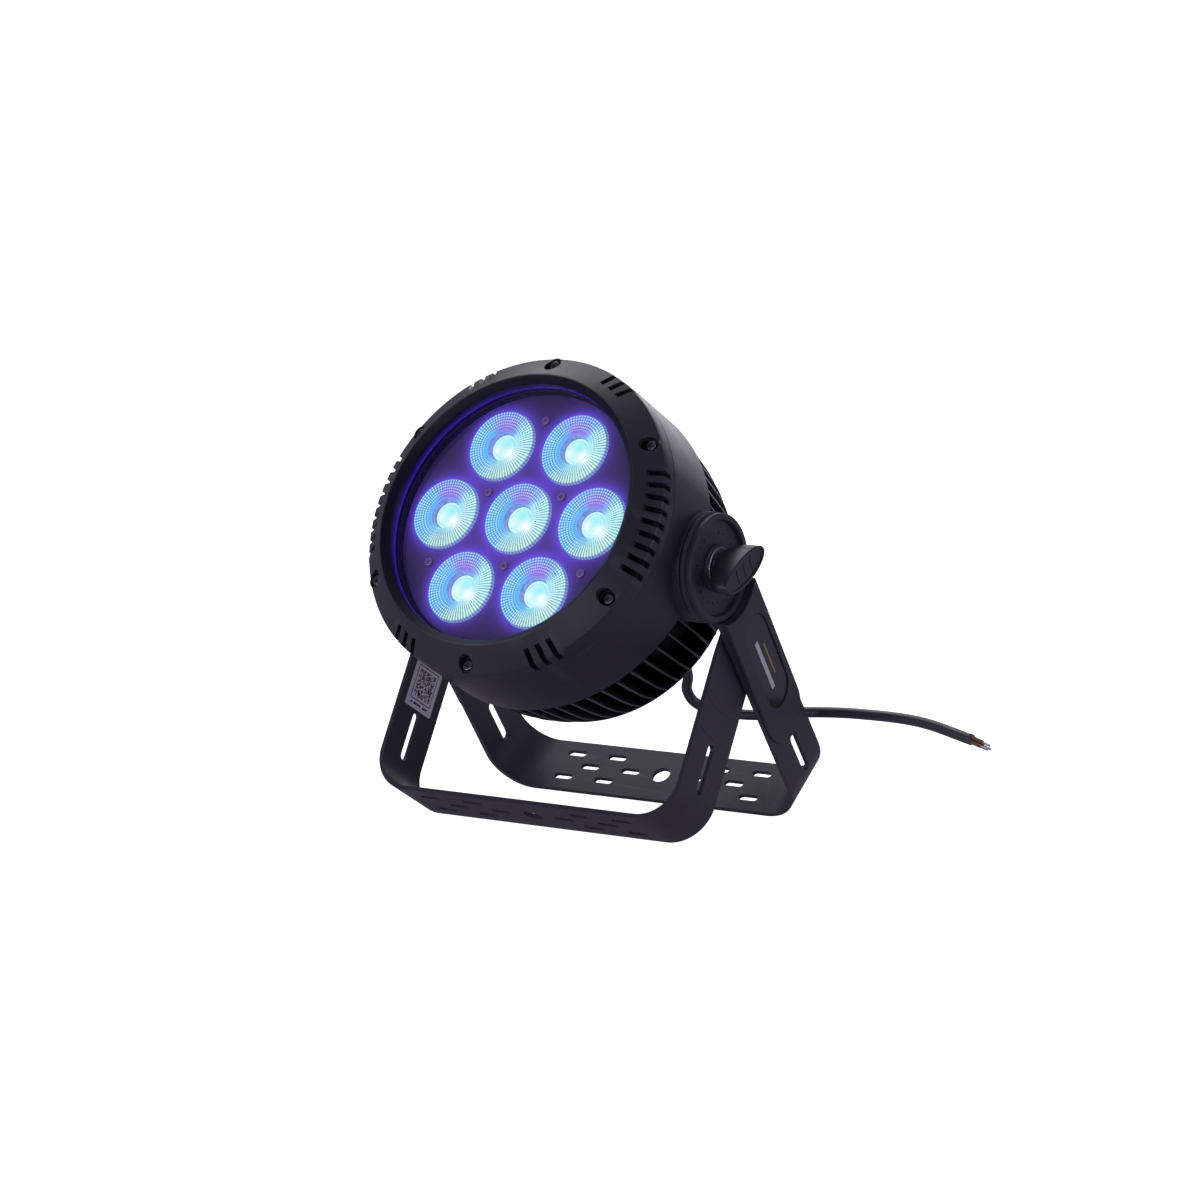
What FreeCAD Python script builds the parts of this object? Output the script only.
# Seven-lens LED par can on a double yoke (floor stand / hanging bracket).
# Units: mm.  +Z is up and the lamp faces -Y; pieces named "right" sit at +X.
# Origin: centre of the clamp-bolt hole on the outer face of the outer (rear) yoke's base strap.
import FreeCAD, Part
import os
import math

Vec = FreeCAD.Vector

# ------------------------------------------------------------------ driving dimensions
HEAD_NOSE_UP = 27.85        # deg, optical axis above the horizontal
HEAD_AXIS_LIFT = 2.8        # optical axis above the trunnion axis, in the face plane
OUTER_LEAN = 36.6           # deg, outer arms rise towards the front
INNER_LEAN = 29.1           # deg, inner arms rise towards the rear
HINGE_DROP = 58.5           # inner-yoke hinge below the trunnion, along the outer arm
HINGE_Y = -3.0              # and across the arm, negative is ahead of its centre line

# shared fits and fasteners
GAP = 0.02                  # gap between touching pieces
M3_R = 1.5                  # small screws: shank, tapped hole, clearance hole
M3_TAP_R = 1.53
M3_CLEAR_R = 1.7
STUD_R = 4.0                # trunnion studs and hinge bolts
STUD_HOLE_R = STUD_R + 0.06
WHOLE_TURN = (0, 60, 120, 180, 240, 300)
HALF_STEP = (30, 90, 150, 210, 270, 330)

# yoke straps
STRAP_T = 3.0
OUTER_Y0 = -23.0            # outer strap: front and rear edges
OUTER_Y1 = 22.0
INNER_W = 46.0              # inner strap, narrowing to INNER_EYE_W at its hinge
INNER_EYE_W = 44.0
OUTER_HALF = 122.1          # mid-planes of the arms, from the centre
INNER_HALF = 117.1
OUTER_IN = OUTER_HALF - STRAP_T / 2.0       # inside and outside faces of the arms
OUTER_OUT = OUTER_HALF + STRAP_T / 2.0
INNER_IN = INNER_HALF - STRAP_T / 2.0
INNER_OUT = INNER_HALF + STRAP_T / 2.0
OUTER_DROP = 202.3          # trunnion to the inner surface of the outer base
INNER_DROP = 134.7          # hinge to the outer surface of the inner base
OUTER_BEND_R = 29.0         # outside radii of the corner bends
INNER_BEND_R = 28.0
DISH_X0 = 114.4             # pressed dish at the top of the outer arm: floor, inside and outside
DISH_X1 = 117.4
DISH_FLOOR_R = 35.5
DISH_BEVEL = 1.5            # on the outer rim of the dish floor
DISH_WALL_RO = 36.2
DISH_WALL_RI = 33.6
DISH_LIP_X = 119.0          # the wall steps outwards here
DISH_LIP_RO = 38.2
DISH_LIP_RI = 35.7
SLOT_PITCH = 33.57          # adjusting slots in the base straps
SLOT_ROW = 11.23
SLOT_LEN = 15.0
SLOT_WID = 5.0
# adjusting slots: x in pitches (both sides), y in rows
BASE_SLOTS = ((0.75, 0), (1.75, 0), (1.25, 1), (2.25, 1), (1.25, -1), (2.25, -1))
CLAMP_HOLE_R = 6.5
LEG_SLOT_LEN = 34.0
LEG_SLOT_WID = 7.5
OUTER_LEG_SLOT_UP = 38.0    # centre above the inner surface of the base
INNER_LEG_SLOT_UP = 44.0    # centre above the outer surface of the base
COVER_PEGS = ((-66.0, -16.5), (-66.0, 16.5), (-134.0, 0.0))     # z, y in the outer yoke's frame

# head, shared by several pieces (z is forward along the optical axis)
BEZEL_SEAM_Z = 50.5
GLASS_R = 92.0
GLASS_Z0 = 60.0
GLASS_Z1 = 63.2
LENS_R = 24.5
LENS_RING_R = 56.93
PLATE_FRONT = 56.0
PLATE_T = 2.2
CORE_R = 76.0
CORE_RI = 71.5
CORE_REAR_Z = -80.0
WEB_Z0 = 26.0
WEB_Z1 = 32.0
BOARD_Z1 = WEB_Z1 + 2.1     # front of the LED board
BOSS_FACE = 113.3
INSERT_X0 = 104.0
CABLE_PASS = (0, -26.0)     # cable passage through the web
CABLE_PASS_R = 5.0

os.makedirs("parts", exist_ok=True)

# ------------------------------------------------------------------ frames of the groups
ARM_LEN = OUTER_DROP + STRAP_T
LEAN = math.radians(OUTER_LEAN)
TRUNNION = Vec(0.0, -ARM_LEN * math.sin(LEAN), ARM_LEN * math.cos(LEAN))


def frame(base, deg_x):
    return FreeCAD.Placement(base, FreeCAD.Rotation(Vec(1, 0, 0), deg_x))


WORLD = FreeCAD.Placement()
# yoke frames: origin on the pivot, -z down the arm, +y towards the rear
OUTER = frame(TRUNNION, OUTER_LEAN)
INNER = frame(OUTER.multVec(Vec(0, HINGE_Y, -HINGE_DROP)), -INNER_LEAN)
# head frame: origin on the optical axis, y up in the face, z forward
HEAD = frame(TRUNNION, 90.0 - HEAD_NOSE_UP).multiply(frame(Vec(0, HEAD_AXIS_LIFT, 0), 0))


def save(name, group, shapes):
    # place one shape, or a list as a compound, in its group's frame and write it
    def placed(shape):
        out = shape.copy()
        out.Placement = group.multiply(out.Placement)
        return out

    if isinstance(shapes, list):
        result = Part.makeCompound([placed(s) for s in shapes])
    else:
        result = placed(shapes)
    result.exportStep("parts/" + name + ".step")


# ------------------------------------------------------------------ helpers
def polar(radius, deg):
    return radius * math.cos(math.radians(deg)), radius * math.sin(math.radians(deg))


def closed_face(points):
    return Part.Face(Part.makePolygon(points + [points[0]]))


def prism(points, path):
    return closed_face(points).extrude(path)


def rev(points):
    # revolve an (r, z) polygon about z
    return closed_face([Vec(r, 0, z) for r, z in points]).revolve(Vec(0, 0, 0), Vec(0, 0, 1), 360)


def rev_x(points):
    # revolve an (r, x) polygon about x
    return closed_face([Vec(x, 0, r) for r, x in points]).revolve(Vec(0, 0, 0), Vec(1, 0, 0), 360)


def cyl(r, z0, z1, x=0.0, y=0.0):
    return Part.makeCylinder(r, z1 - z0, Vec(x, y, z0))


def cylx(r, x0, x1, y=0.0, z=0.0):
    return Part.makeCylinder(r, x1 - x0, Vec(x0, y, z), Vec(1, 0, 0))


def ring(ro, ri, z0, z1, x=0.0, y=0.0):
    return cyl(ro, z0, z1, x, y).cut(cyl(ri, z0 - 1, z1 + 1, x, y))


def ringx(ro, ri, x0, x1, y=0.0, z=0.0):
    return cylx(ro, x0, x1, y, z).cut(cylx(ri, x0 - 1, x1 + 1, y, z))


def box(x0, x1, y0, y1, z0, z1):
    return Part.makeBox(x1 - x0, y1 - y0, z1 - z0, Vec(x0, y0, z0))


def rbox(x0, x1, y0, y1, z0, z1, r):
    # box with rounded edges along z
    block = box(x0, x1, y0, y1, z0, z1)
    upright = [e for e in block.Edges if abs(e.tangentAt(e.FirstParameter).z) > 0.99]
    return block.makeFillet(r, upright)


def hexz(flats, z0, z1, x=0.0, y=0.0):
    corners = []
    for i in range(6):
        dx, dy = polar(flats / math.sqrt(3.0), 60 * i)
        corners.append(Vec(x + dx, y + dy, z0))
    return prism(corners, Vec(0, 0, z1 - z0))


def slotz(length, width, z0, z1, x=0.0, y=0.0, along="x"):
    # round-ended slot through z
    h = (length - width) / 2.0
    r = width / 2.0
    if along == "x":
        s = box(x - h, x + h, y - r, y + r, z0, z1)
        return s.fuse([cyl(r, z0, z1, x - h, y), cyl(r, z0, z1, x + h, y)]).removeSplitter()
    s = box(x - r, x + r, y - h, y + h, z0, z1)
    return s.fuse([cyl(r, z0, z1, x, y - h), cyl(r, z0, z1, x, y + h)]).removeSplitter()


def slotx(length, width, x0, x1, y, z):
    # round-ended slot through x, long side along z
    h = (length - width) / 2.0
    r = width / 2.0
    s = box(x0, x1, y - r, y + r, z - h, z + h)
    return s.fuse([cylx(r, x0, x1, y, z - h), cylx(r, x0, x1, y, z + h)]).removeSplitter()


def z_to_x(shape, x, y=0.0, z=0.0):
    # swing a shape's z axis onto x, then move it
    shape.rotate(Vec(0, 0, 0), Vec(0, 1, 0), 90)
    shape.translate(Vec(x, y, z))
    return shape


def turnz(shape, deg):
    turned = shape.copy()
    turned.rotate(Vec(0, 0, 0), Vec(0, 0, 1), deg)
    return turned


def mirrored(shape):
    return shape.mirror(Vec(0, 0, 0), Vec(1, 0, 0))


def both_sides(shape):
    return [shape, mirrored(shape)]


def save_sides(name, group, shape):
    save(name + "_right", group, shape)
    save(name + "_left", group, mirrored(shape))


def near(a, b):
    return abs(a - b) < 1e-6


def edges_where(shape, test):
    return [e for e in shape.Edges if test(e.BoundBox)]


def fillet_try(shape, r, test):
    # round the edges whose bounding box passes the test;
    # guards against a fillet that fails or spoils the solid, which then stays sharp
    edges = edges_where(shape, test)
    try:
        out = shape.makeFillet(r, edges)
        if out.isValid() and out.Volume > 0.5 * shape.Volume:
            return out
    except Exception:
        pass
    return shape


def fillet_at_z(shape, r, z):
    return fillet_try(shape, r, lambda b: near(b.ZMin, z) and near(b.ZMax, z))


def headed(head, shank):
    return head.fuse(shank).removeSplitter()


def cross_recess(screw, x, y, reach, z0, z1):
    w = 0.3
    screw = screw.cut(box(x - reach, x + reach, y - w, y + w, z0, z1))
    return screw.cut(box(x - w, x + w, y - reach, y + reach, z0, z1))


# ------------------------------------------------------------------ yokes
def u_strap(half, drop, bend_r, y0, y1):
    # U of flat strap: outer surface of the base at z = -drop, arms centred on x = +/-half
    def bent_block(x_half, ya, yb, z_base, r):
        block = Part.makeBox(2 * x_half, yb - ya, drop, Vec(-x_half, ya, z_base))
        corners = edges_where(
            block, lambda b: near(b.ZMax, z_base) and abs(b.XLength) < 1e-6 and b.YLength > 1)
        return block.makeFillet(r, corners)

    outside = bent_block(half + STRAP_T / 2.0, y0, y1, -drop, bend_r)
    inside = bent_block(half - STRAP_T / 2.0, y0 - 1, y1 + 1, -drop + STRAP_T, bend_r - STRAP_T)
    return outside.cut(inside)


def base_cuts(z_base):
    # adjusting slots and the clamp-bolt hole
    z0 = z_base - 2
    z1 = z_base + STRAP_T + 2
    cuts = []
    for pitches, row in BASE_SLOTS:
        for side in (-1, 1):
            x = side * pitches * SLOT_PITCH
            cuts.append(slotz(SLOT_LEN, SLOT_WID, z0, z1, x, row * SLOT_ROW))
    return cuts + [cyl(CLAMP_HOLE_R, z0, z1)]


def yoke_dish():
    # flat floor and stepped wall, the wall only as wide as the strap
    lip_back = DISH_LIP_X + 0.25
    wall = rev_x([
        (DISH_WALL_RI, DISH_X0), (DISH_WALL_RO, DISH_X0), (DISH_WALL_RO, DISH_LIP_X),
        (DISH_LIP_RO, DISH_LIP_X), (DISH_LIP_RO, OUTER_OUT), (DISH_LIP_RI, OUTER_OUT),
        (DISH_LIP_RI, lip_back), (DISH_WALL_RI, lip_back)])
    wall = wall.common(box(110, 130, OUTER_Y0, OUTER_Y1, -60, -5))
    floor = rev_x([
        (0, DISH_X0), (DISH_FLOOR_R, DISH_X0), (DISH_FLOOR_R, DISH_X1 - DISH_BEVEL),
        (DISH_FLOOR_R - DISH_BEVEL - 0.4, DISH_X1), (0, DISH_X1)])
    return floor.fuse(wall).removeSplitter()


def outer_yoke():
    strap = u_strap(OUTER_HALF, ARM_LEN, OUTER_BEND_R, OUTER_Y0, OUTER_Y1)
    # clear the arm tops for the dishes
    dish_hole_r = DISH_LIP_RO - 0.4
    strap = strap.cut([
        cylx(dish_hole_r, OUTER_IN - 1, OUTER_OUT + 1),
        cylx(dish_hole_r, -OUTER_OUT - 1, -OUTER_IN + 1),
        box(-OUTER_OUT - 1, OUTER_OUT + 1, -40, 40, -5.0, 60)])
    dish = yoke_dish()
    countersink = Part.makeCone(
        STUD_R + 0.05, 7.05, STRAP_T, Vec(OUTER_IN, HINGE_Y, -HINGE_DROP), Vec(1, 0, 0))
    x_near = DISH_X0 - 5
    x_far = OUTER_OUT + 5
    cuts = []
    for x0, x1, cone in ((-x_far, -x_near, mirrored(countersink)), (x_near, x_far, countersink)):
        cuts.append(cylx(STUD_HOLE_R, x0, x1))
        cuts.append(cylx(STUD_R + 0.05, x0, x1, HINGE_Y, -HINGE_DROP))
        cuts.append(cone)
        cuts.append(slotx(LEG_SLOT_LEN, LEG_SLOT_WID, x0, x1, 0, OUTER_LEG_SLOT_UP - OUTER_DROP))
        for z, y in COVER_PEGS:
            cuts.append(cylx(1.55, x0, x1, y, z))
    strap = strap.fuse([mirrored(dish), dish]).removeSplitter()
    return strap.cut(cuts + base_cuts(-ARM_LEN))


def inner_yoke():
    half_w = INNER_W / 2.0
    eye_r = INNER_EYE_W / 2.0
    strap = u_strap(INNER_HALF, INNER_DROP, INNER_BEND_R, -half_w, half_w)
    eyes, cuts, tips, arcs = [], [], [], []
    for x0, x1 in ((-INNER_OUT, -INNER_IN), (INNER_IN, INNER_OUT)):
        eyes.append(cylx(eye_r, x0, x1))
        cuts.append(cylx(STUD_HOLE_R, x0 - 5, x1 + 5))
        cuts.append(slotx(LEG_SLOT_LEN, LEG_SLOT_WID, x0 - 5, x1 + 5, 0,
                          INNER_LEG_SLOT_UP - INNER_DROP))
    # the strap narrows from 18 mm to 6 mm below the hinge
    for side in (-1, 1):
        edge = ((half_w + 1, -18), (half_w, -18), (eye_r, -6), (eye_r, 30), (half_w + 1, 30))
        tips.append(prism([Vec(-150, side * y, z) for y, z in edge], Vec(300, 0, 0)))
    strap = strap.cut(tips).fuse(eyes).removeSplitter()
    # three shallow raised arcs on each outer face, concentric with the hinge
    for turn in (mirrored, lambda shape: shape):
        for r in (19.6, 50.6, 69.6):
            arc = ringx(r + 0.8, r - 0.8, INNER_OUT - 0.4, INNER_OUT + 0.25)
            half = eye_r - (3.2 if r < 30 else 1.2)
            arc = arc.common(box(INNER_OUT - 1, INNER_OUT + 1, -half, half, -90, -6))
            arcs.append(turn(arc))
    strap = strap.fuse(arcs).removeSplitter()
    return strap.cut(cuts + base_cuts(-INNER_DROP))


save("outer_yoke", OUTER, outer_yoke())
save("inner_yoke", INNER, inner_yoke())
# square label on the inside of the inner yoke's -X arm
label = rbox(-15.6, 15.6, -15.6, 15.6, 0, 0.25, 1.0)
save("info_label", INNER, z_to_x(label, -INNER_IN + GAP, -1.4, -56.8))


# ------------------------------------------------------------------ inner-yoke hinge
def hinge_bolt():
    # countersunk, flush in the outer arm, with a hexagon socket
    cone_x = OUTER_IN + GAP
    cone = Part.makeCone(STUD_R, 7.0, STRAP_T - GAP, Vec(cone_x, 0, 0), Vec(1, 0, 0))
    bolt = headed(cylx(STUD_R, INNER_IN - 3.4, cone_x), cone)
    return bolt.cut(z_to_x(hexz(5.0, 0, 3.0), OUTER_OUT - 1.9))


def hinge_nut():
    nut = z_to_x(hexz(13.0, 0, 3.1), INNER_IN - 3.15)
    nut = nut.common(cylx(7.2, INNER_IN - 4, INNER_IN))
    return nut.cut(cylx(STUD_R + 0.03, INNER_IN - 8, INNER_IN + 10))


def hinge_thrust_washer():
    return ringx(12.5, STUD_R + 0.08, INNER_OUT + 0.05, OUTER_IN - 0.05)


for name, part in (("hinge_bolts", hinge_bolt()), ("hinge_nuts", hinge_nut()),
                   ("hinge_thrust_washers", hinge_thrust_washer())):
    part.translate(Vec(0, HINGE_Y, -HINGE_DROP))
    save(name, OUTER, both_sides(part))

# ------------------------------------------------------------------ arm covers and badge panels
COVER_HALF = 22.3
COVER_END = 124.6           # centre of the round end, down the arm
COVER_X0 = OUTER_OUT + 0.03
COVER_TOP_X = 127.7         # outer face at 20 mm down the arm
COVER_FALL = 0.0195         # the outer face falls by this much for each mm down the arm
COVER_WALL = 1.7
BADGE_DOWN = 82.5
BADGE_Y = 2.2
BADGE_LEN = 73.0
BADGE_WID = 27.0
BADGE_RIM = 1.6             # recess larger than the badge by this much
BEYOND_X = 135              # clear of every cover face


def cover_x(down, below=0.0):
    # outer face of the cover at a distance down the arm
    return COVER_TOP_X - (down - 20.0) * COVER_FALL - below


def wedge(below_a, below_b):
    # slab under the sloping outer face, from one depth to another (None: down to the arm)
    x_top = COVER_X0 if below_a is None else cover_x(10.0, below_a)
    x_end = COVER_X0 if below_a is None else cover_x(160.0, below_a)
    corners = [Vec(x_top, -30, -10), Vec(cover_x(10.0, below_b), -30, -10),
               Vec(cover_x(160.0, below_b), -30, -160), Vec(x_end, -30, -160)]
    return prism(corners, Vec(0, 60, 0))


def cover_outline(grow, x0, x1):
    r = COVER_HALF + grow
    s = box(x0, x1, -r, r, -COVER_END, -15)
    s = s.fuse(cylx(r, x0, x1, 0, -COVER_END)).removeSplitter()
    return s.cut(cylx(DISH_LIP_RI + 0.15 - grow, x0 - 1, x1 + 1))


def badge_slot(grow):
    return slotx(BADGE_LEN + grow, BADGE_WID + grow, COVER_X0, BEYOND_X, BADGE_Y, -BADGE_DOWN)


def arm_cover():
    cover = cover_outline(0, COVER_X0 - 1, BEYOND_X).common(wedge(None, 0.0))
    cover = fillet_try(cover, 1.1, lambda b: b.XMin > COVER_X0 + 0.5
                       and (b.XMax - b.XMin) < 2.6 and (b.ZLength + b.YLength) > 6)
    # shallow hollow in the back, leaving a pad round each peg
    hollow = cover_outline(-COVER_WALL, COVER_X0 - 1, COVER_X0 + 0.4)
    pads = [cylx(3.4, COVER_X0 - 1, COVER_X0 + 2, y, z) for z, y in COVER_PEGS]
    cover = cover.cut(hollow.cut(pads))
    pegs = [cylx(1.5, OUTER_IN + 0.2, COVER_X0 + 0.5, y, z) for z, y in COVER_PEGS]
    cover = cover.fuse(pegs).removeSplitter()
    return cover.cut(badge_slot(BADGE_RIM).common(wedge(1.3, -1.0)))


save_sides("arm_cover", OUTER, arm_cover())
save_sides("cover_badge", OUTER, badge_slot(0).common(wedge(1.28, 0.85)))

# ------------------------------------------------------------------ dials, clamp washers, knobs
DIAL_R = 34.9
DIAL_LOW_R = 33.5
DIAL_X0 = 117.43
DIAL_STEP_X = 119.32
DIAL_RIM_X = 122.0
DIAL_FACE_X = 118.5
DIAL_RIM_RI = 31.2
DIAL_FACE_R = 30.2
DIMPLE_RING_R = 22.5
COLLAR_R = 15.2
COLLAR_X = 121.0
WASHER_T = 1.3
KNOB_X0 = COLLAR_X + WASHER_T + 0.1
KNOB_TIP_X = 141.2
KNOB_HALF_LEN = 25.4
KNOB_HALF_WID = 9.3
KNOB_ANGLE = 26.5           # deg, long axis above +Y
# knob wing stations: x, half length along z, half width along y
KNOB_STATIONS = (
    (KNOB_X0 + 0.8, 13.6, 10.9), (KNOB_X0 + 3.4, 19.6, 10.4), (KNOB_X0 + 6.4, 23.4, 10.0),
    (KNOB_TIP_X - 4.4, 25.2, 9.6), (KNOB_TIP_X, KNOB_HALF_LEN, KNOB_HALF_WID))
GRIP_PITCH = 8.6
STUD_X0 = 106.0


def dial():
    disc = rev_x([
        (0, DIAL_X0), (DIAL_LOW_R, DIAL_X0), (DIAL_LOW_R, DIAL_STEP_X), (DIAL_R, DIAL_STEP_X),
        (DIAL_R, DIAL_RIM_X - 0.7), (DIAL_R - 0.25, DIAL_RIM_X - 0.2), (DIAL_R - 0.8, DIAL_RIM_X),
        (DIAL_RIM_RI, DIAL_RIM_X), (DIAL_RIM_RI - 0.3, DIAL_RIM_X - 0.3),
        (DIAL_FACE_R, DIAL_FACE_X), (0, DIAL_FACE_X)])
    collar = cylx(COLLAR_R, DIAL_FACE_X - 0.5, COLLAR_X)
    collar = fillet_try(collar, 1.2, lambda b: near(b.XMin, COLLAR_X))
    disc = disc.fuse(collar).removeSplitter()
    disc = disc.cut(cylx(STUD_HOLE_R, DIAL_X0 - 1, COLLAR_X + 1))
    # 24 dimples, every third one larger
    dimples = []
    for i in range(24):
        y, z = polar(DIMPLE_RING_R, 15 * i)
        dimples.append(cylx(0.6 if i % 3 else 1.0, DIAL_FACE_X - 0.5, DIAL_FACE_X + 1, y, z))
    return disc.cut(dimples)


def clamp_washer():
    x0 = COLLAR_X + GAP
    washer = ringx(13.4, STUD_R + 0.3, x0, x0 + WASHER_T)
    return fillet_try(washer, 0.4, lambda b: near(b.XMin, x0 + WASHER_T) and b.YLength > 15)


def oval(x, half_len, half_wid):
    # ellipse in the plane at x, long side along z
    wire = Part.Wire([Part.Ellipse(Vec(0, 0, 0), half_len, half_wid).toShape()])
    wire.Placement = FreeCAD.Placement(Vec(x, 0, 0), FreeCAD.Rotation(Vec(0, 1, 0), -90))
    return wire


def knob():
    # round hub spreading into a flat wing with a sunk oval end face
    hub = cylx(11.2, KNOB_X0, KNOB_X0 + 3.0)
    hub = fillet_try(hub, 0.5, lambda b: near(b.XMin, KNOB_X0) and b.XLength < 1e-6)
    wing = Part.makeLoft([oval(*station) for station in KNOB_STATIONS], True, False)
    wing = fillet_try(wing, 0.9, lambda b: abs(b.XMin - KNOB_TIP_X) < 1e-4
                      and abs(b.XMax - KNOB_TIP_X) < 1e-4)
    sunk = oval(KNOB_TIP_X - 0.7, KNOB_HALF_LEN - 2.2, KNOB_HALF_WID - 2.0)
    wing = wing.cut(Part.Face(sunk).extrude(Vec(3, 0, 0)))
    # three raised grip bars on the sunk face
    bars = [z_to_x(rbox(-1.3, 1.3, -4.6, 4.6, 0, 0.9, 0.9), KNOB_TIP_X - 1.2, 0, i * GRIP_PITCH)
            for i in (-1, 0, 1)]
    body = hub.fuse([wing] + bars).removeSplitter()
    body = body.cut(cylx(STUD_R + 0.02, KNOB_X0 - 1, KNOB_X0 + 12.0))
    # the wing's long side points up and back
    body.rotate(Vec(0, 0, 0), Vec(1, 0, 0), -(90.0 - KNOB_ANGLE) - OUTER_LEAN)
    return body


def knob_stud():
    stud = cylx(STUD_R, STUD_X0, KNOB_X0 + 11.8)
    return fillet_try(stud, 0.8, lambda b: near(b.XMax, STUD_X0))


save_sides("dial", OUTER, dial())
save_sides("clamp_washer", OUTER, clamp_washer())
save_sides("knob", OUTER, knob())
save_sides("knob_stud", OUTER, knob_stud())

# friction discs and inserts turn with the head, on the trunnion axis
disc = ringx(27.0, STUD_R + 0.4, BOSS_FACE + GAP, DISH_X0 - 0.04, -HEAD_AXIS_LIFT)
save("friction_discs", HEAD, both_sides(disc))
insert = ringx(7.0, STUD_HOLE_R, INSERT_X0, BOSS_FACE - GAP, -HEAD_AXIS_LIFT)
save("trunnion_inserts", HEAD, both_sides(insert))

# ------------------------------------------------------------------ hole and lens positions (x, y)
BEZEL_SCREWS = [polar(103.6, a) for a in HALF_STEP]
PLATE_SCREWS = ([polar(33.0, a) for a in (30, 150, 270)]
                + [polar(68.4, a) for a in (90, 210, 330)])
REAR_SCREWS = [polar(67.0, a) for a in WHOLE_TURN]
DRIVER_SCREWS = [(x, y) for x in (-44.0, 44.0) for y in (-30.0, 34.0)]
LENS_POS = [(0.0, 0.0)] + [polar(LENS_RING_R, a) for a in WHOLE_TURN]


def cyls(r, z0, z1, places):
    return [cyl(r, z0, z1, x, y) for x, y in places]


# ------------------------------------------------------------------ die-cast body with radial fins
DRUM_R = 110.6
DRUM_RI = DRUM_R - 5.0
DRUM_REAR_Z = 1.6
CHAMBER_R = 87.8            # lens-board chamber behind the glass
SHELL_T = 4.4
FIN_COUNT = 60
FIN_T = 1.45
BOSS_R = 35.5
# bowl-shaped shell behind the drum, outside (r, z), front to rear
SHELL = [
    (97.5, WEB_Z0 + 0.5), (96.8, 0.0), (95.6, -10.0), (94.0, -20.0), (91.8, -30.0),
    (89.2, -40.0), (86.0, -50.0), (81.6, -60.0), (77.4, -68.0), (CORE_R, -72.0),
    (CORE_R, CORE_REAR_Z)]
SHELL_INSIDE = [(max(CORE_RI, r - SHELL_T), z) for r, z in SHELL]
# fin outline (r, z): top, outer edge to the rear, and back along the root inside the shell
FIN_TOP = [
    (96.5, WEB_Z0 + 0.5), (DRUM_RI + 1.0, WEB_Z0 + 0.5), (DRUM_RI + 1.0, DRUM_REAR_Z + 1.2),
    (DRUM_R - 1.6, DRUM_REAR_Z + 0.2)]
FIN_EDGE = [
    (109.4, 0.0), (107.9, -10.0), (106.6, -20.0), (105.0, -30.0), (102.9, -40.0),
    (99.8, -50.0), (95.8, -60.0), (92.9, -65.0), (89.5, -70.0), (85.5, -74.5),
    (81.5, -77.4), (CORE_R + 0.4, -79.2)]
FIN_ROOT = [
    (CORE_R - 1.0, -79.2), (CORE_R - 1.0, -72.0), (76.4, -68.0), (80.6, -60.0),
    (85.0, -50.0), (88.2, -40.0), (90.8, -30.0), (93.0, -20.0), (94.6, -10.0), (95.8, 0.0)]


def drum():
    return rev([
        (DRUM_RI, DRUM_REAR_Z), (DRUM_R - 0.8, DRUM_REAR_Z), (DRUM_R, DRUM_REAR_Z + 0.8),
        (DRUM_R, BEZEL_SEAM_Z - 0.9), (DRUM_R - 0.7, BEZEL_SEAM_Z - 0.2),
        (107.0, BEZEL_SEAM_Z - 0.2), (107.0, 58.0), (CHAMBER_R, 58.0), (CHAMBER_R, 50.0),
        (101.0, 47.0), (DRUM_RI, 42.0)])


def body_fins():
    outline = [Vec(r, -FIN_T / 2.0, z) for r, z in FIN_TOP + FIN_EDGE + FIN_ROOT]
    fins = [turnz(prism(outline, Vec(0, FIN_T, 0)), 360.0 / FIN_COUNT * (k + 0.5))
            for k in range(FIN_COUNT)]
    # thin flange that ties the fins together towards the rear
    return fins + [rev([(80.0, -60.5), (95.75, -60.5), (94.35, -63.0), (79.2, -63.0)])]


def body_cuts():
    # lens-board chamber, then the electronics chamber
    cuts = [cyl(CHAMBER_R, WEB_Z1, 60.0)]
    cuts.append(rev([(0, WEB_Z1), (101.0, WEB_Z1), (101.0, 46.0), (CHAMBER_R, 49.0), (0, 49.0)]))
    cuts.append(rev([(0, WEB_Z0)] + [(r, min(z, WEB_Z0)) for r, z in SHELL_INSIDE]
                    + [(CORE_RI, CORE_REAR_Z - 2), (0, CORE_REAR_Z - 2)]))
    # insert bores, bezel screws, cable passage, lens-plate standoffs
    for x0, x1 in ((-BOSS_FACE - 2, -INSERT_X0), (INSERT_X0, BOSS_FACE + 2)):
        cuts.append(cylx(7.02, x0, x1, -HEAD_AXIS_LIFT, 0))
    cuts += cyls(2.04, 48.0, 60.0, BEZEL_SCREWS)
    cuts.append(cyl(CABLE_PASS_R, WEB_Z0 - 2, WEB_Z1 + 2, *CABLE_PASS))
    return cuts + cyls(M3_TAP_R, WEB_Z0 + 1.0, WEB_Z1 + 2, PLATE_SCREWS)


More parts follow.
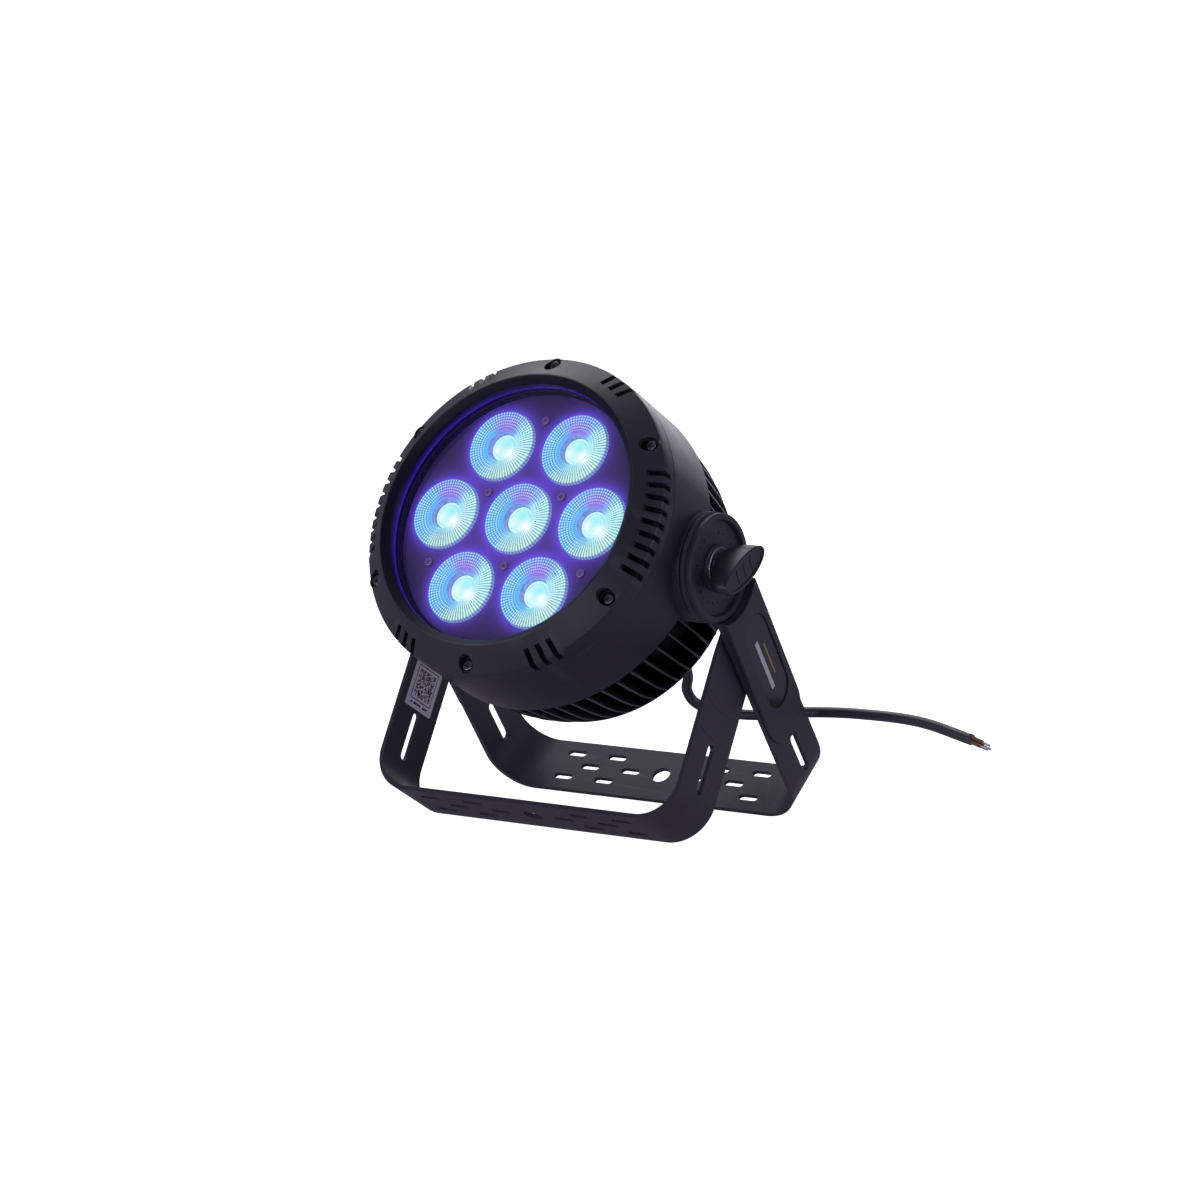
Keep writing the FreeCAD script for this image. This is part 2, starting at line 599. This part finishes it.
def body_casting():
    web = rev([(0, WEB_Z0), (DRUM_RI + 0.5, WEB_Z0), (DRUM_RI + 0.5, WEB_Z1), (0, WEB_Z1)])
    core = rev(SHELL_INSIDE[::-1] + SHELL)
    boss = cylx(BOSS_R, 88.0, BOSS_FACE, -HEAD_AXIS_LIFT, 0)
    boss = fillet_try(boss, 1.0, lambda b: near(b.XMin, BOSS_FACE) and near(b.XMax, BOSS_FACE))
    body = drum().fuse([web, core, mirrored(boss), boss])
    body = body.fuse(body_fins()).cut(body_cuts())
    # rear screw posts inside the core wall, and pads for the driver board
    posts = cyls(5.2, CORE_REAR_Z, CORE_REAR_Z + 14.0, REAR_SCREWS)
    pads = cyls(4.0, 8.0, WEB_Z0 + 0.5, DRIVER_SCREWS)
    taps = cyls(M3_TAP_R, CORE_REAR_Z - 1, CORE_REAR_Z + 11.0, REAR_SCREWS)
    taps += cyls(M3_TAP_R, 7.0, 18.0, DRIVER_SCREWS)
    return body.fuse(posts + pads).cut(taps).removeSplitter()


save("body_casting", HEAD, body_casting())

# ------------------------------------------------------------------ bezel
BEZEL_R = 110.0
BEZEL_EDGE_Z = 62.5
CREST_R = 93.6
CREST_Z = 74.0
THROAT_R = 88.6
THROAT_Z = 70.6
BEZEL_SCREW_FLOOR = 62.0
BEZEL_RECESS_R = 5.3
NOTCH_W = 3.7
NOTCH_PITCH = 4.55          # deg
NOTCH_GROUPS = ((0, 9), (180, 9), (60, 3), (-60, 3), (120, 3), (-120, 3))   # deg, count


def front_bezel():
    bezel = rev([
        (BEZEL_R + 0.6, BEZEL_SEAM_Z), (BEZEL_R + 0.6, BEZEL_SEAM_Z + 1.0),
        (BEZEL_R, BEZEL_EDGE_Z - 1.0), (BEZEL_R - 0.9, BEZEL_EDGE_Z + 0.4),
        (CREST_R + 1.2, CREST_Z - 0.55), (CREST_R + 0.2, CREST_Z), (CREST_R - 0.7, CREST_Z - 0.3),
        (THROAT_R + 0.5, THROAT_Z + 0.2), (THROAT_R, THROAT_Z - 0.6),
        (THROAT_R, GLASS_Z1 + 0.05), (GLASS_R + 0.5, GLASS_Z1 + 0.05), (GLASS_R + 0.5, 60.2),
        (94.6, 58.5), (94.6, 66.2), (98.0, 67.2), (BEZEL_R - 3.2, 60.8),
        (107.5, 58.2), (107.5, BEZEL_SEAM_Z)])
    posts = []
    holes = []
    for x, y in BEZEL_SCREWS:
        post = cyl(6.2, 58.1, BEZEL_SCREW_FLOOR + 1.5, x, y)
        posts.append(post.common(cyl(BEZEL_R - 0.05, 50, 80)))
        holes.append(cyl(BEZEL_RECESS_R, BEZEL_SCREW_FLOOR, 80, x, y))
        holes.append(cyl(2.25, 50, 70, x, y))
    bezel = bezel.fuse(posts).cut(holes)
    # groups of radial notches round the outer slope
    notches = []
    for middle, count in NOTCH_GROUPS:
        for i in range(count):
            notch = box(100.6, 120.0, -NOTCH_W / 2.0, NOTCH_W / 2.0, 55.4, 75.0)
            notches.append(turnz(notch, middle + (i - (count - 1) / 2.0) * NOTCH_PITCH))
    return bezel.cut(notches).removeSplitter()


def bezel_screw(x, y):
    # pan head with a hexagon socket
    seat = BEZEL_SCREW_FLOOR + GAP
    head_h = 2.6
    top = seat + head_h
    head = fillet_at_z(cyl(3.7, seat, top, x, y), head_h * 0.35, top)
    screw = headed(head, cyl(2.0, seat - 12.0, seat, x, y))
    return screw.cut(hexz(3.0, seat + head_h * 0.45, top + 1, x, y))


save("front_bezel", HEAD, front_bezel())
save("bezel_screws", HEAD, [bezel_screw(x, y) for x, y in BEZEL_SCREWS])

# ------------------------------------------------------------------ glass, lens plate, lenses
PLATE_BACK = PLATE_FRONT - PLATE_T
LENS_REAR_Z = 37.6
GASKET_PROFILE = [                              # r, z
    (87.9, 58.02), (91.6, 58.02), (91.6, 59.6), (90.6, GLASS_Z0), (88.9, GLASS_Z0), (87.9, 59.6)]
# flanged collimator (r, z): stepped convex front, then the rim and the cup behind
LENS_PROFILE = [
    (0, 57.2), (1.6, 57.1), (3.2, 56.7), (4.8, 56.0), (6.0, 55.0), (6.6, 54.6), (7.4, 54.9),
    (8.2, 57.0), (9.2, 57.4), (14.0, 57.9), (19.0, 58.05), (22.6, 57.8), (24.1, 57.1),
    (LENS_R, 56.2), (LENS_R, 53.6), (25.6, 53.55), (25.6, 52.2), (23.8, 52.0), (20.4, 47.5),
    (15.6, 42.6), (9.6, LENS_REAR_Z + 0.2), (4.6, LENS_REAR_Z), (4.4, 40.2), (2.2, 41.2),
    (0, 41.5)]
HOLDER_PROFILE = [                              # r, z
    (11.2, 35.75), (13.4, 35.75), (17.6, 40.2), (22.6, 45.6), (25.4, 50.0), (25.9, 51.95),
    (24.3, 51.95), (24.0, 51.3), (21.2, 46.9), (16.2, 41.9), (11.2, 37.9)]


def front_glass():
    return fillet_try(cyl(GLASS_R, GLASS_Z0 + GAP, GLASS_Z1), 0.4, lambda b: b.XLength > 100)


def lens_plate():
    plate = cyl(87.4, PLATE_BACK, PLATE_FRONT)
    plate = plate.cut(cyls(LENS_R + 0.25, 50, 60, LENS_POS)
                      + cyls(M3_CLEAR_R, 50, 60, PLATE_SCREWS))
    return fillet_try(plate, 0.5, lambda b: b.XLength > 150 and b.ZMin > PLATE_FRONT - 0.01)


def plate_screw(x, y):
    seat = PLATE_FRONT + GAP
    top = PLATE_FRONT + 1.7
    head = fillet_at_z(cyl(2.9, seat, top, x, y), 0.7, top)
    screw = headed(head, cyl(M3_R, PLATE_FRONT - 9.0, seat, x, y))
    return cross_recess(screw, x, y, 1.5, PLATE_FRONT + 0.7, PLATE_FRONT + 3)


def rev_at(profile, x, y):
    shape = rev(profile)
    shape.translate(Vec(x, y, 0))
    return shape


save("front_glass", HEAD, front_glass())
save("glass_gasket", HEAD, rev(GASKET_PROFILE))
save("lens_plate", HEAD, lens_plate())
save("lens_plate_screws", HEAD, [plate_screw(x, y) for x, y in PLATE_SCREWS])
save("lens_centre", HEAD, rev_at(LENS_PROFILE, *LENS_POS[0]))
save("lenses_ring", HEAD, [rev_at(LENS_PROFILE, x, y) for x, y in LENS_POS[1:]])
save("lens_holders", HEAD, [rev_at(HOLDER_PROFILE, x, y) for x, y in LENS_POS])


# ------------------------------------------------------------------ LED board
def board_disc(z0, z1):
    # disc on the web with holes for the standoffs and the cable
    disc = cyl(84.0, z0, z1).cut(cyls(1.8, 30, 40, PLATE_SCREWS))
    return disc.cut(cyl(CABLE_PASS_R, 30, 40, *CABLE_PASS))


def led_emitter(x, y):
    dome_z = WEB_Z1 + 3.3
    base = box(x - 3.6, x + 3.6, y - 3.6, y + 3.6, BOARD_Z1 + GAP, WEB_Z1 + 3.4)
    dome = Part.makeSphere(2.9, Vec(x, y, dome_z))
    dome = dome.common(box(x - 4, x + 4, y - 4, y + 4, dome_z, WEB_Z1 + 8))
    return base.fuse(dome).removeSplitter()


def plate_standoff(x, y):
    # hexagon pillar with a threaded foot in the web and a tapped front end
    foot_z = BOARD_Z1 + GAP
    pillar = hexz(5.5, foot_z, PLATE_BACK - GAP, x, y)
    pillar = headed(pillar, cyl(M3_R, WEB_Z0 + 1.4, foot_z, x, y))
    return pillar.cut(cyl(1.52, PLATE_FRONT - 9.5, PLATE_FRONT, x, y))


save("thermal_pad", HEAD, board_disc(WEB_Z1 + GAP, WEB_Z1 + 0.5))
save("led_board", HEAD, board_disc(WEB_Z1 + 0.52, BOARD_Z1))
save("led_emitters", HEAD, [led_emitter(x, y) for x, y in LENS_POS])
save("plate_standoffs", HEAD, [plate_standoff(x, y) for x, y in PLATE_SCREWS])

# ------------------------------------------------------------------ electronics
DRIVER_Z0 = 6.3
DRIVER_Z1 = 7.9
PART_TOP_Z = DRIVER_Z0 - GAP    # components hang below (behind) the driver board
TRAY_Z1 = -9.0                  # front face of the supply tray's flange
FLANGE_Z0 = TRAY_Z1 - 1.2
SUPPLY_Z1 = -32.0               # front face of the supply board
SUPPLY_PART_Z = SUPPLY_Z1 + GAP
# x0, x1, y0, y1, rear z
DRIVER_BLOCKS = ((-36, -22, -22, -8, -0.5), (-14, 2, -24, -8, 1.2), (12, 26, -24, -6, -2.0))
DRIVER_CANS = ((5.0, -6.0, 22.0, (-34.0, -20.0, -6.0)),             # r, rear z, y, x list
               (3.2, -1.0, 4.0, (-30.0, -10.0, 10.0, 30.0)))


def driver_board():
    board = rbox(-50.0, 50.0, -36.0, 40.0, DRIVER_Z0, DRIVER_Z1, 3.0)
    for hole in cyls(M3_CLEAR_R, 5, 9, DRIVER_SCREWS):
        board = board.cut(hole)
    return board


def driver_components():
    parts = [box(x0, x1, y0, y1, z0, PART_TOP_Z) for x0, x1, y0, y1, z0 in DRIVER_BLOCKS]
    for r, z0, y, xs in DRIVER_CANS:
        parts += [cyl(r, z0, PART_TOP_Z, x, y) for x in xs]
    return parts + [box(10, 32, 14, 30, 2.4, PART_TOP_Z)]


def driver_screws():
    # hexagon spacers between the driver board and the supply tray, each with its own nut
    parts = []
    z0 = TRAY_Z1 + GAP
    for x, y in DRIVER_SCREWS:
        spacer = hexz(6.0, z0, PART_TOP_Z, x, y)
        ends = [cyl(M3_R, PART_TOP_Z, 17.0, x, y), cyl(M3_R, -13.2, z0, x, y)]
        parts.append(spacer.fuse(ends).removeSplitter())
        nut = hexz(5.5, -12.6, FLANGE_Z0 - GAP, x, y)
        parts.append(nut.cut(cyl(M3_TAP_R, -14, -8, x, y)))
    return parts


def supply_case():
    # tray open at the rear, with flanges and vent slots in its front wall
    case = box(-50.0, 50.0, -26.0, 26.0, -34.0, TRAY_Z1)
    case = case.fuse(box(-50.0, 50.0, -35.0, 39.0, FLANGE_Z0, TRAY_Z1)).removeSplitter()
    case = case.cut(box(-48.8, 48.8, -24.8, 24.8, -35.0, FLANGE_Z0))
    case = case.cut([slotz(14, 2.2, -12, -5, x, y, "y")
                     for x in (-36.0, -28.0, -20.0, 20.0, 28.0, 36.0) for y in (-14.0, 14.0)])
    return case.cut(cyls(M3_CLEAR_R, -12, -8, DRIVER_SCREWS))


def supply_board():
    return [
        box(-48.4, 48.4, -24.4, 24.4, -33.6, SUPPLY_Z1),
        box(-20, 2, -14, 12, SUPPLY_PART_Z, -14.0),
        cyl(9.0, SUPPLY_PART_Z, -12.0, 30.0, 0.0),
        cyl(6.5, SUPPLY_PART_Z, -16.0, -36.0, 10.0),
        box(-44, -28, -20, -6, SUPPLY_PART_Z, -22.0),
        box(8, 16, -18, 16, SUPPLY_PART_Z, -15.0)]


save("driver_board", HEAD, driver_board())
save("driver_components", HEAD, driver_components())
save("driver_screws", HEAD, driver_screws())
save("supply_case", HEAD, supply_case())
save("supply_board", HEAD, supply_board())

# ------------------------------------------------------------------ rear cover
REAR_IN = CORE_REAR_Z - 1.02        # inner (front) and outer (rear) faces of the cover
REAR_OUT = REAR_IN - 4.0
DMX_IN = (-37.0, -30.0)
DMX_OUT = (1.0, -38.0)
SOCKET_SCREWS = [(x + dx, y + dy) for x, y in (DMX_IN, DMX_OUT)
                 for dx, dy in ((-9.5, 12.0), (9.5, -12.0))]
GLAND = (42.0, -24.0)
GLAND_R = 8.0
BUTTONS = [(x, 8.0) for x in (-24.0, -8.0, 8.0, 24.0)]
BUTTON_R = 4.0
EYE_X, EYE_Y = 0.0, 62.0            # safety eye
EYE_SCREWS = [(EYE_X + dx, EYE_Y - 3.0) for dx in (-9.0, 9.0)]
DISPLAY_BACK = REAR_IN + 4.0        # board behind the display, seen from outside


def drill(r, places):
    # holes right through the rear cover
    return cyls(r, -110, -60, places)


def rear_cover():
    cover = cyl(CORE_R, REAR_OUT, REAR_IN)
    cover = fillet_try(cover, 1.5, lambda b: b.XLength > 100 and b.ZMax < REAR_OUT + 0.01)
    cuts = drill(M3_CLEAR_R, REAR_SCREWS)
    cuts += cyls(3.3, REAR_OUT - 2, REAR_OUT + 1.9, REAR_SCREWS)
    cuts += drill(12.0, (DMX_IN, DMX_OUT))
    cuts += drill(1.3, SOCKET_SCREWS)
    cuts += drill(GLAND_R + 0.05, [GLAND])
    cuts += drill(BUTTON_R + 0.06, BUTTONS)
    # stepped display opening
    cuts.append(rbox(-24.0, 24.0, 20.0, 44.0, REAR_OUT - 1, REAR_OUT + 2.0, 2.0))
    cuts.append(box(-19.0, 19.0, 23.5, 40.5, -110, -60))
    cuts += drill(M3_TAP_R, EYE_SCREWS)
    return cover.cut(cuts)


def rear_screw(x, y):
    seat = REAR_OUT + 1.88
    screw = headed(cyl(2.9, REAR_OUT + 0.1, seat, x, y),
                   cyl(M3_R, seat, CORE_REAR_Z + 9.0, x, y))
    return cross_recess(screw, x, y, 1.7, REAR_OUT - 1, REAR_OUT + 0.9)


def display_module():
    # display, its board, and a switch body in front of each button's flange
    module = box(-18.6, 18.6, 23.9, 40.1, REAR_OUT + 2.1, DISPLAY_BACK)
    board = box(-34.0, 34.0, 1.0, 46.0, DISPLAY_BACK, DISPLAY_BACK + 1.6)
    module = module.fuse(board).removeSplitter()
    switches = [box(x - 3.0, x + 3.0, y - 3.0, y + 3.0, REAR_IN + 2.2, DISPLAY_BACK)
                for x, y in BUTTONS]
    return module.fuse(switches).removeSplitter()


def button(x, y):
    flange_z = REAR_IN + 0.3
    cap = cyl(BUTTON_R, REAR_OUT - 1.6, flange_z, x, y)
    cap = fillet_try(cap, 0.7, lambda b: b.ZMax < REAR_OUT - 1.59)
    return cap.fuse(cyl(5.0, flange_z, REAR_IN + 1.2, x, y)).removeSplitter()


save("rear_gasket", HEAD, ring(75.2, 72.4, CORE_REAR_Z - 1.0, CORE_REAR_Z - GAP))
save("rear_cover", HEAD, rear_cover())
save("rear_cover_screws", HEAD, [rear_screw(x, y) for x, y in REAR_SCREWS])
window = rbox(-23.9, 23.9, 20.1, 43.9, REAR_OUT + 0.3, REAR_OUT + 1.98, 2.0)
save("display_window", HEAD, window)
save("display_module", HEAD, display_module())
for i, (x, y) in enumerate(BUTTONS):
    save("button_%d" % (i + 1), HEAD, button(x, y))


# ------------------------------------------------------------------ DMX sockets
def xlr_socket(x, y, male):
    # male: open cup with pins; female: ring groove and pin holes
    z_open = REAR_OUT - 3
    flange = rbox(x - 13.0, x + 13.0, y - 15.5, y + 15.5, REAR_OUT - 1.9, REAR_OUT - GAP, 3.0)
    socket = flange.fuse(cyl(11.8, REAR_OUT - GAP, REAR_IN + 14.0, x, y)).removeSplitter()
    contacts = []
    for a in (90, 210, 330):
        dx, dy = polar(3.6, a)
        contacts.append((x + dx, y + dy))
    if male:
        socket = socket.cut(cyl(9.4, z_open, REAR_IN + 10.0, x, y))
        pins = cyls(1.2, REAR_OUT + 1.5, REAR_IN + 11.0, contacts)
        socket = socket.fuse(pins).removeSplitter()
    else:
        socket = socket.cut(ring(9.6, 7.6, z_open, REAR_IN + 10.0, x, y))
        for hole in cyls(1.4, z_open, REAR_IN + 8.0, contacts):
            socket = socket.cut(hole)
    for dx, dy in ((-9.5, 12.0), (9.5, -12.0)):
        socket = socket.cut(cyl(M3_CLEAR_R, REAR_OUT - 4, REAR_OUT + 1, x + dx, y + dy))
    return socket


def socket_screw(x, y):
    seat = REAR_OUT - 1.92
    screw = headed(cyl(2.6, REAR_OUT - 3.3, seat, x, y), cyl(1.25, seat, REAR_OUT + 6.0, x, y))
    return screw.cut(box(x - 1.5, x + 1.5, y - 0.3, y + 0.3, REAR_OUT - 4, REAR_OUT - 2.6))


save("dmx_input_socket", HEAD, xlr_socket(*DMX_IN, male=True))
save("dmx_output_socket", HEAD, xlr_socket(*DMX_OUT, male=False))
save("socket_screws", HEAD, [socket_screw(x, y) for x, y in SOCKET_SCREWS])


# ------------------------------------------------------------------ cable gland
def gland_body():
    body = hexz(20.0, REAR_OUT - 5.0, REAR_OUT - GAP, *GLAND)
    body = body.fuse([cyl(GLAND_R, REAR_OUT - GAP, REAR_IN + 8.0, *GLAND),
                      cyl(8.4, REAR_OUT - 9.0, REAR_OUT - 5.0, *GLAND)]).removeSplitter()
    return body.cut(cyl(3.65, -120, -50, *GLAND))


def gland_nut():
    nut = hexz(19.0, REAR_OUT - 13.0, REAR_OUT - 5.05, *GLAND)
    cone = [(0, REAR_OUT - 14), (7.6, REAR_OUT - 14), (11.4, REAR_OUT - 9.0),
            (11.4, REAR_OUT), (0, REAR_OUT)]
    nut = nut.common(rev_at(cone, *GLAND))
    return nut.cut(cyl(8.45, REAR_OUT - 9.1, REAR_OUT, *GLAND)).cut(cyl(3.7, -120, -50, *GLAND))


def gland_locknut():
    nut = hexz(20.0, REAR_IN + GAP, REAR_IN + 4.5, *GLAND)
    return nut.cut(cyl(GLAND_R + 0.05, -120, -50, *GLAND))


save("cable_gland_body", HEAD, gland_body())
save("cable_gland_nut", HEAD, gland_nut())
save("cable_gland_locknut", HEAD, gland_locknut())


# ------------------------------------------------------------------ safety eye
def safety_eye():
    # bent bracket with a through hole, screwed to the top of the rear cover
    x, y = EYE_X, EYE_Y
    tip_z = REAR_OUT - 22.0
    foot = box(x - 14.0, x + 14.0, y - 8.5, y + 2.5, REAR_OUT - 3.02, REAR_OUT - GAP)
    tab = box(x - 11.0, x + 11.0, y - 0.5, y + 2.5, tip_z, REAR_OUT - 3.0)
    corners = edges_where(tab, lambda b: b.ZMax < tip_z + 0.1 and b.YLength > 2.9)
    bracket = foot.fuse(tab.makeFillet(9.0, corners)).removeSplitter()
    hole = Part.makeCylinder(5.5, 12, Vec(x, y - 5, REAR_OUT - 12.5), Vec(0, 1, 0))
    bracket = bracket.cut(hole)
    for screw_hole in drill(M3_CLEAR_R, EYE_SCREWS):
        bracket = bracket.cut(screw_hole)
    return bracket


def safety_eye_screw(x, y):
    seat = REAR_OUT - 3.04
    return headed(cyl(2.4, REAR_OUT - 4.6, seat, x, y), cyl(M3_R, seat, REAR_OUT + 3.6, x, y))


save("safety_eye", HEAD, safety_eye())
save("safety_eye_screws", HEAD, [safety_eye_screw(x, y) for x, y in EYE_SCREWS])

# ------------------------------------------------------------------ power cable
CABLE_R = 3.6
CABLE_SECTIONS = 64
CORE_WIRE_R = 1.25
CORE_WIRE_LEN = 9.0
CORE_WIRE_RING = 1.75
# cable course behind the gland: world x, y, z from the trunnion centre
CABLE_WAY = [
    (36.6, 97.2, -87.6), (31.2, 104.6, -98.6), (33.6, 112.0, -108.3), (48.4, 118.2, -113.8),
    (78.4, 122.0, -114.0), (115.3, 120.8, -108.7), (157.7, 118.0, -105.8),
    (206.8, 110.0, -105.7), (249.9, 100.0, -112.1)]


def cable_path():
    # straight through the gland, then along the course
    inside = HEAD.multVec(Vec(*GLAND, REAR_IN + 6.0))
    outside = HEAD.multVec(Vec(*GLAND, REAR_OUT - 14.0))
    step = (outside - inside) * (1.0 / 6.0)
    points = [inside + step * k for k in range(7)] + [outside + step * 0.35]
    path = Part.BSplineCurve()
    path.interpolate(points + [TRUNNION + Vec(*p) for p in CABLE_WAY])
    return path


def tangent(path, u):
    return Vec(path.tangent(u)[0]).normalize()


def power_cable(path):
    # loft of circles whose reference direction is carried along without twist
    u0, u1 = path.FirstParameter, path.LastParameter
    sections = []
    ref = Vec(1, 0, 0)
    for i in range(CABLE_SECTIONS + 1):
        u = u0 + (u1 - u0) * i / float(CABLE_SECTIONS)
        centre = path.value(u)
        along = tangent(path, u)
        ref = (ref - along * ref.dot(along)).normalize()
        across = along.cross(ref).normalize()
        matrix = FreeCAD.Matrix(
            ref.x, across.x, along.x, centre.x,
            ref.y, across.y, along.y, centre.y,
            ref.z, across.z, along.z, centre.z,
            0, 0, 0, 1)
        section = Part.Wire([Part.makeCircle(CABLE_R)])
        section.Placement = FreeCAD.Placement(matrix)
        sections.append(section)
    return Part.makeLoft(sections, True, False)


def cable_ends(path):
    # three stripped cores and the ferrules on their ends
    tip = TRUNNION + Vec(*CABLE_WAY[-1])
    along = tangent(path, path.LastParameter)
    side = along.cross(Vec(0, 0, 1)).normalize()
    up = side.cross(along).normalize()
    cores = []
    ferrules = []
    for a in (90, 210, 330):
        dx, dy = polar(CORE_WIRE_RING, a)
        start = tip + along * GAP + side * dx + up * dy
        cores.append(Part.makeCylinder(CORE_WIRE_R, CORE_WIRE_LEN, start, along))
        ferrule_start = start + along * (CORE_WIRE_LEN + 0.01)
        ferrules.append(Part.makeCylinder(0.85, 6.0, ferrule_start, along))
    return cores, ferrules


path = cable_path()
cores, ferrules = cable_ends(path)
save("power_cable", WORLD, power_cable(path))
save("cable_cores", WORLD, cores)
save("core_ferrules", WORLD, ferrules)
